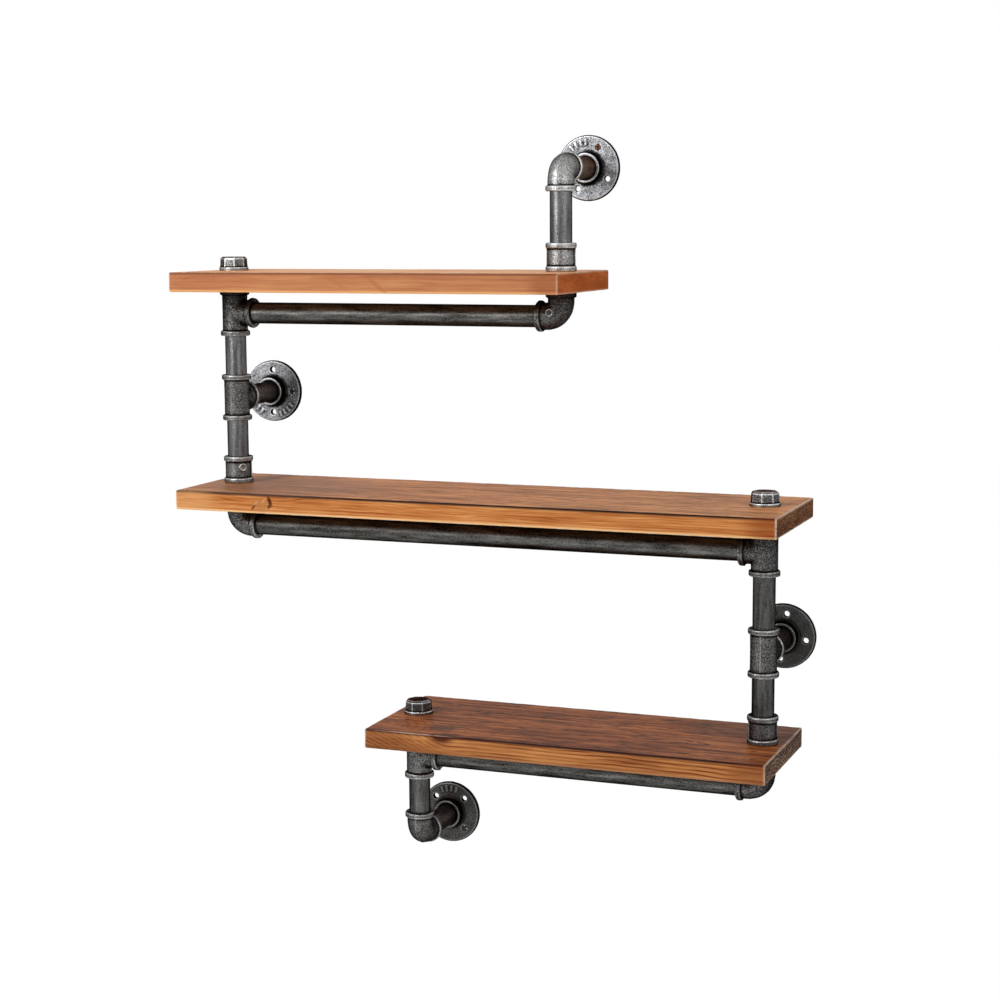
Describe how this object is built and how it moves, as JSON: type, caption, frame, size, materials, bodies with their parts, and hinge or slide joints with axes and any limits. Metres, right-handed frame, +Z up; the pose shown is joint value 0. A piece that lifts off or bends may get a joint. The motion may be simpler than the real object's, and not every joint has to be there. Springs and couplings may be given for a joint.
{
  "type": "pipe shelving unit",
  "caption": "Wall shelving unit: staggered wooden boards clamped in one zigzag run of iron pipe, with a hanging rail under each board and flanges to the wall.",
  "frame": {"origin": "centre of the back face of the top wall flange, on the wall plane", "axes": "+X to the right along the wall as seen from the room, +Y into the wall, +Z up; the unit stands in front of the wall at -Y"},
  "size_m": [0.768, 0.201, 0.91],
  "materials": {
    "board": "satin",
    "fitting": "satin",
    "flange": "satin",
    "pipe": "satin",
    "rail": "satin"
  },
  "bodies": {
    "root": {"top_wall_flange": "flange", "left_wall_flange": "flange", "right_wall_flange": "flange", "bottom_wall_flange": "flange", "top_wall_nipple": "pipe", "left_wall_nipple": "pipe", "right_wall_nipple": "pipe", "bottom_wall_nipple": "pipe", "top_wall_elbow": "fitting", "left_wall_tee": "fitting", "right_wall_tee": "fitting", "bottom_wall_elbow": "fitting", "top_riser": "pipe", "left_upper_riser": "pipe", "left_lower_riser": "pipe", "right_upper_riser": "pipe", "right_lower_riser": "pipe", "bottom_riser": "pipe", "top_coupling": "fitting", "middle_coupling": "fitting", "bottom_coupling": "fitting", "top_cap": "fitting", "middle_cap": "fitting", "bottom_cap": "fitting", "top_board": "board", "middle_board": "board", "bottom_board": "board", "top_coupling_nipple": "pipe", "middle_coupling_nipple": "pipe", "bottom_coupling_nipple": "pipe", "top_cap_nipple": "pipe", "middle_cap_nipple": "pipe", "bottom_cap_nipple": "pipe", "top_rail_tee": "fitting", "middle_rail_tee": "fitting", "bottom_rail_tee": "fitting", "top_rail_elbow": "fitting", "middle_rail_elbow": "fitting", "bottom_rail_elbow": "fitting", "top_rail": "rail", "middle_rail": "rail", "bottom_rail": "rail"}
  },
  "joints": []
}
